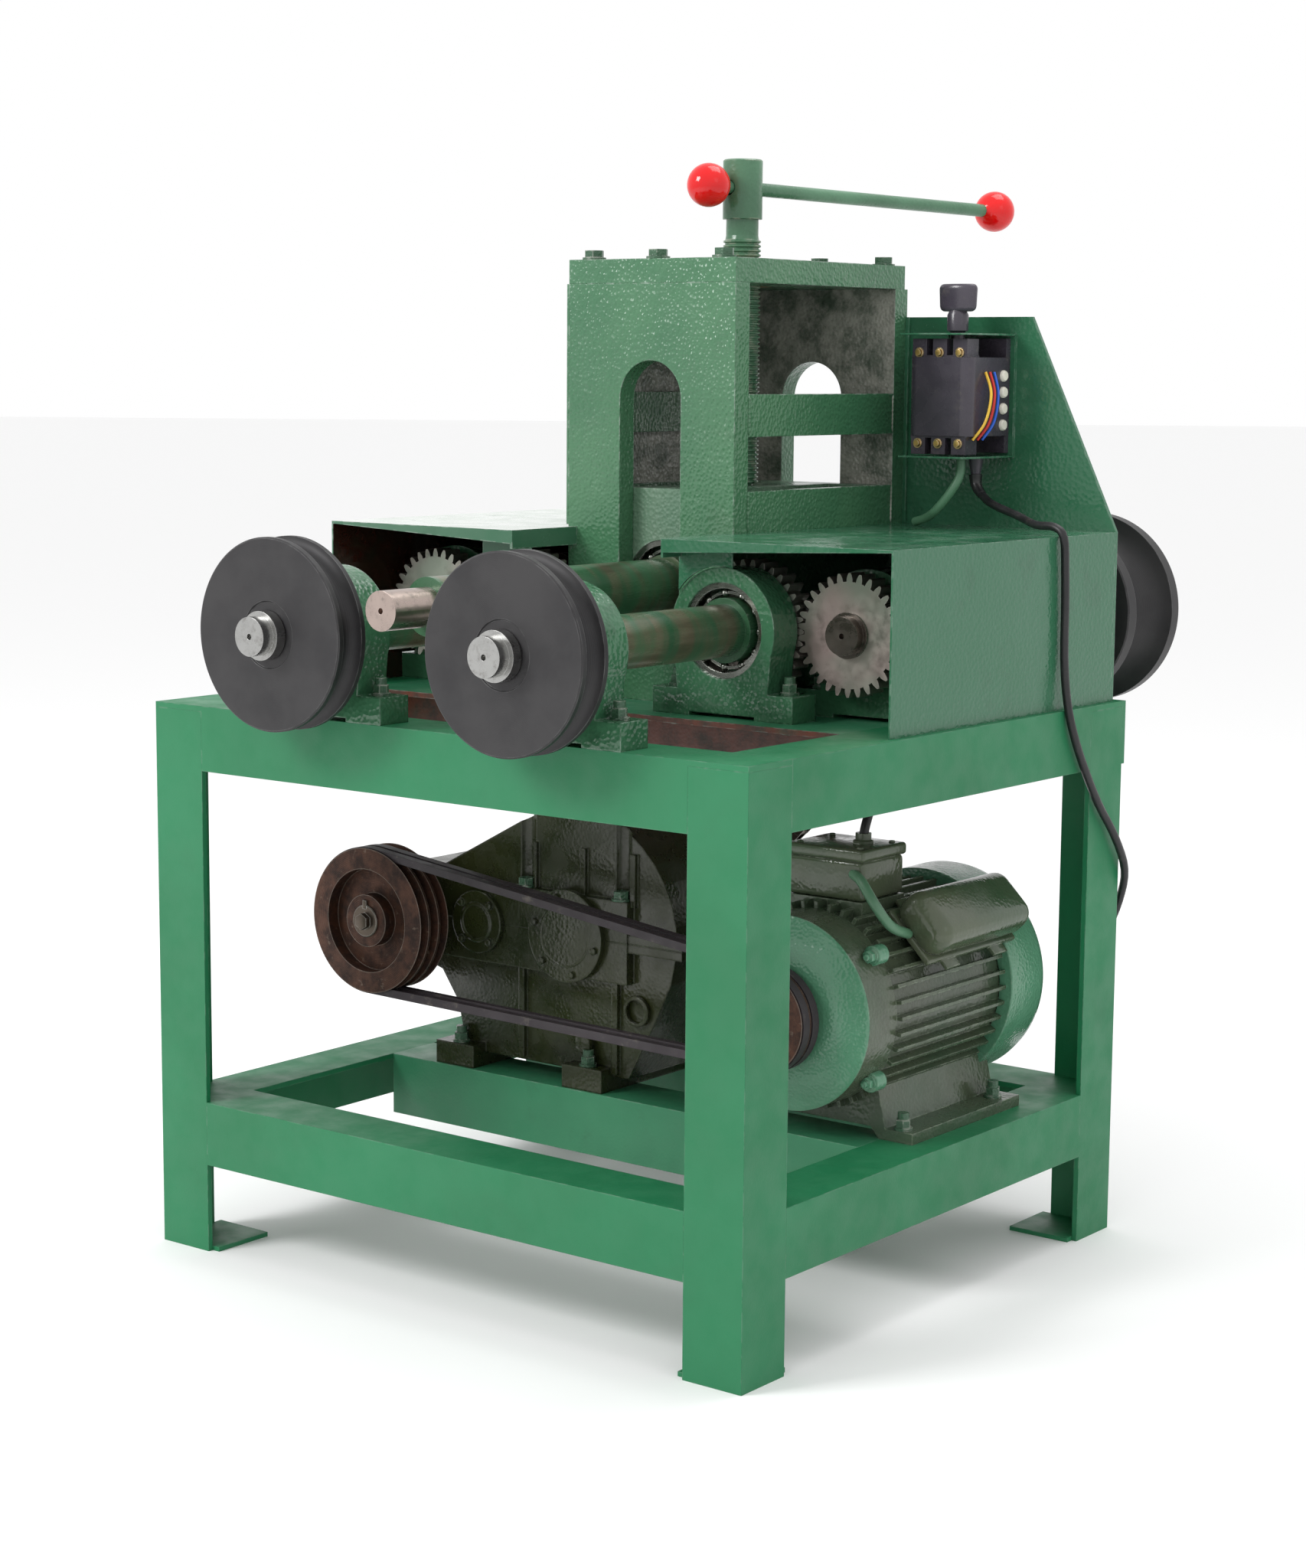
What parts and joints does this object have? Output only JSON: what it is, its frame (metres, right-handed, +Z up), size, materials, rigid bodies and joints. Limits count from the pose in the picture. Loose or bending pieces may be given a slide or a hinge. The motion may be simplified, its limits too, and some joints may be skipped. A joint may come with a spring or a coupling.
{
  "type": "three-roll pipe bending machine",
  "caption": "Electric three-roll pipe and section bender on an angle-iron stand, with press screw tower, geared rollers at both ends, belt-driven gearbox and drum switch.",
  "frame": {"origin": "on the floor, midway between the four legs of the stand", "axes": "+Z up, front of the machine towards -Y, +X to the right seen from the front"},
  "size_m": [0.8035, 1.0555, 1.189],
  "materials": {
    "stand_legs": "brushed-on green enamel over angle iron, matt and uneven",
    "foot_plates": "brushed-on green enamel over angle iron, matt and uneven",
    "top_rail_front": "brushed-on green enamel over angle iron, matt and uneven",
    "top_rail_back": "brushed-on green enamel over angle iron, matt and uneven",
    "side_rails": "brushed-on green enamel over angle iron, matt and uneven",
    "lower_rails": "brushed-on green enamel over angle iron, matt and uneven",
    "cross_members": "brushed-on green enamel over angle iron, matt and uneven",
    "deck_plate": "brushed-on green enamel over angle iron, matt and uneven",
    "front_pillow_blocks": "green enamel over rough casting",
    "mid_pillow_blocks": "green enamel over rough casting",
    "outer_pillow_blocks": "green enamel over rough casting",
    "bearings": "ground bearing steel",
    "block_bolts": "steel bolts painted over with the frame",
    "tower_front_plate": "hammered green enamel, worn pale on the edges",
    "tower_back_plate": "hammered green enamel, worn pale on the edges",
    "tower_side_bars": "hammered green enamel, worn pale on the edges",
    "tower_top_plate": "hammered green enamel, worn pale on the edges",
    "tower_bolts": "steel bolts painted over with the frame",
    "press_nut": "turned bronze",
    "carriage": "milled steel with slide marks",
    "carriage_bearings": "ground bearing steel",
    "upper_shaft": "turned steel, partly overpainted green",
    "press_screw": "turned steel, partly overpainted green",
    "turning_bar": "turned steel, partly overpainted green",
    "bar_balls": "glossy red moulding",
    "roller_shaft_left": "turned steel, partly overpainted green",
    "roller_shaft_right": "turned steel, partly overpainted green",
    "roller_left": "oil-blackened turned steel",
    "roller_right": "oil-blackened turned steel",
    "roller_gear_left": "hobbed steel with a film of grease",
    "roller_gear_right": "hobbed steel with a film of grease",
    "outer_shaft_left": "turned steel, partly overpainted green",
    "outer_shaft_right": "turned steel, partly overpainted green",
    "rear_roller_left": "oil-blackened turned steel",
    "rear_roller_right": "oil-blackened turned steel",
    "outer_gear_left": "hobbed steel with a film of grease",
    "outer_gear_right": "hobbed steel with a film of grease",
    "chain_left": "oiled roller chain",
    "chain_right": "oiled roller chain",
    "cover_left": "green enamel on sheet steel",
    "cover_right": "green enamel on sheet steel",
    "switch_panel": "green enamel on sheet steel",
    "switch_base": "phenolic moulding, slightly glossy",
    "switch_knob": "phenolic moulding, slightly glossy",
    "wiring": "insulated flexible wire",
    "mains_cord": "black rubber",
    "cord_coil": "black rubber",
    "plug": "black rubber",
    "cord_clips": "black rubber",
    "gearbox_housing": "dark green enamel over cast iron",
    "gearbox_cover": "dark green enamel over cast iron",
    "gearbox_caps": "dark green enamel over cast iron",
    "gearbox_input": "machined steel, rusted web",
    "gearbox_middle": "machined steel, rusted web",
    "gearbox_output": "machined steel, rusted web",
    "v_belts": "fabric-wrapped rubber",
    "motor_body": "dark green enamel over cast iron and sheet",
    "motor_rotor": "machined steel",
    "motor_covers": "dark green enamel over cast iron and sheet",
    "drive_bolts": "steel bolts painted over"
  },
  "bodies": {
    "frame": {"stand_legs": "stand_legs", "foot_plates": "foot_plates", "top_rail_front": "top_rail_front", "top_rail_back": "top_rail_back", "side_rails": "side_rails", "lower_rails": "lower_rails", "cross_members": "cross_members", "deck_plate": "deck_plate", "front_pillow_blocks": "front_pillow_blocks", "mid_pillow_blocks": "mid_pillow_blocks", "outer_pillow_blocks": "outer_pillow_blocks", "bearings": "bearings", "block_bolts": "block_bolts", "tower_front_plate": "tower_front_plate", "tower_back_plate": "tower_back_plate", "tower_side_bars": "tower_side_bars", "tower_top_plate": "tower_top_plate", "tower_bolts": "tower_bolts", "press_nut": "press_nut", "chain_left": "chain_left", "chain_right": "chain_right", "cover_left": "cover_left", "cover_right": "cover_right", "switch_panel": "switch_panel", "switch_base": "switch_base", "wiring": "wiring", "mains_cord": "mains_cord", "cord_coil": "cord_coil", "plug": "plug", "cord_clips": "cord_clips", "gearbox_housing": "gearbox_housing", "gearbox_cover": "gearbox_cover", "gearbox_caps": "gearbox_caps", "v_belts": "v_belts", "motor_body": "motor_body", "motor_covers": "motor_covers", "drive_bolts": "drive_bolts"},
    "carriage": {"carriage": "carriage", "carriage_bearings": "carriage_bearings"},
    "upper_shaft": {"upper_shaft": "upper_shaft"},
    "screw": {"press_screw": "press_screw"},
    "bar": {"turning_bar": "turning_bar", "bar_balls": "bar_balls"},
    "front_left": {"roller_shaft_left": "roller_shaft_left", "roller_left": "roller_left", "roller_gear_left": "roller_gear_left"},
    "front_right": {"roller_shaft_right": "roller_shaft_right", "roller_right": "roller_right", "roller_gear_right": "roller_gear_right"},
    "outer_left": {"outer_shaft_left": "outer_shaft_left", "rear_roller_left": "rear_roller_left", "outer_gear_left": "outer_gear_left"},
    "outer_right": {"outer_shaft_right": "outer_shaft_right", "rear_roller_right": "rear_roller_right", "outer_gear_right": "outer_gear_right"},
    "knob": {"switch_knob": "switch_knob"},
    "input_shaft": {"gearbox_input": "gearbox_input"},
    "middle_shaft": {"gearbox_middle": "gearbox_middle"},
    "output_shaft": {"gearbox_output": "gearbox_output"},
    "rotor": {"motor_rotor": "motor_rotor"}
  },
  "joints": [
    {"name": "motor_spin", "type": "hinge", "parent": "frame", "child": "rotor", "pos_m": [0.245, 0, 0.3], "axis": [0, 1, 0], "continuous": true},
    {"name": "input_spin", "type": "hinge", "parent": "frame", "child": "input_shaft", "pos_m": [-0.302, 0, 0.337], "axis": [0, 1, 0], "continuous": true},
    {"name": "middle_spin", "type": "hinge", "parent": "frame", "child": "middle_shaft", "pos_m": [-0.202, 0, 0.337], "axis": [0, 1, 0], "continuous": true},
    {"name": "output_spin", "type": "hinge", "parent": "frame", "child": "output_shaft", "pos_m": [-0.072, 0, 0.337], "axis": [0, 1, 0], "continuous": true},
    {"name": "outer_left_spin", "type": "hinge", "parent": "frame", "child": "outer_left", "pos_m": [-0.283, 0, 0.691], "axis": [0, 1, 0], "continuous": true},
    {"name": "outer_right_spin", "type": "hinge", "parent": "frame", "child": "outer_right", "pos_m": [0.283, 0, 0.691], "axis": [0, 1, 0], "continuous": true},
    {"name": "front_left_spin", "type": "hinge", "parent": "frame", "child": "front_left", "pos_m": [-0.155, 0, 0.691], "axis": [0, 1, 0], "continuous": true},
    {"name": "front_right_spin", "type": "hinge", "parent": "frame", "child": "front_right", "pos_m": [0.155, 0, 0.691], "axis": [0, 1, 0], "continuous": true},
    {"name": "carriage_slide", "type": "slide", "parent": "frame", "child": "carriage", "axis": [0, 0, 1], "range_m": [-0.0301, 0.1401]},
    {"name": "screw_turn", "type": "hinge", "parent": "carriage", "child": "screw", "pos_m": [0, 0.17, 1], "axis": [0, 0, 1], "range_deg": [-2160, 10080]},
    {"name": "bar_slide", "type": "slide", "parent": "screw", "child": "bar", "axis": [0.1736, 0.9846, -0.0209], "range_m": [-0.36, 0.004]},
    {"name": "upper_spin", "type": "hinge", "parent": "carriage", "child": "upper_shaft", "pos_m": [0, 0, 0.724], "axis": [0, 1, 0], "continuous": true},
    {"name": "knob_turn", "type": "hinge", "parent": "frame", "child": "knob", "pos_m": [0.212, 0.285, 1], "axis": [0, 0, 1], "range_deg": [-60, 60]}
  ],
  "couplings": [
    {"joint": "input_spin", "follows": "motor_spin", "ratio": 0.6478},
    {"joint": "middle_spin", "follows": "motor_spin", "ratio": -0.12339},
    {"joint": "output_spin", "follows": "motor_spin", "ratio": 0.019194},
    {"joint": "outer_left_spin", "follows": "motor_spin", "ratio": 0.014678},
    {"joint": "outer_right_spin", "follows": "motor_spin", "ratio": 0.014678},
    {"joint": "front_left_spin", "follows": "motor_spin", "ratio": -0.012951},
    {"joint": "front_right_spin", "follows": "motor_spin", "ratio": -0.012951},
    {"joint": "carriage_slide", "follows": "screw_turn", "m_per_rad": 0.00079577}
  ]
}
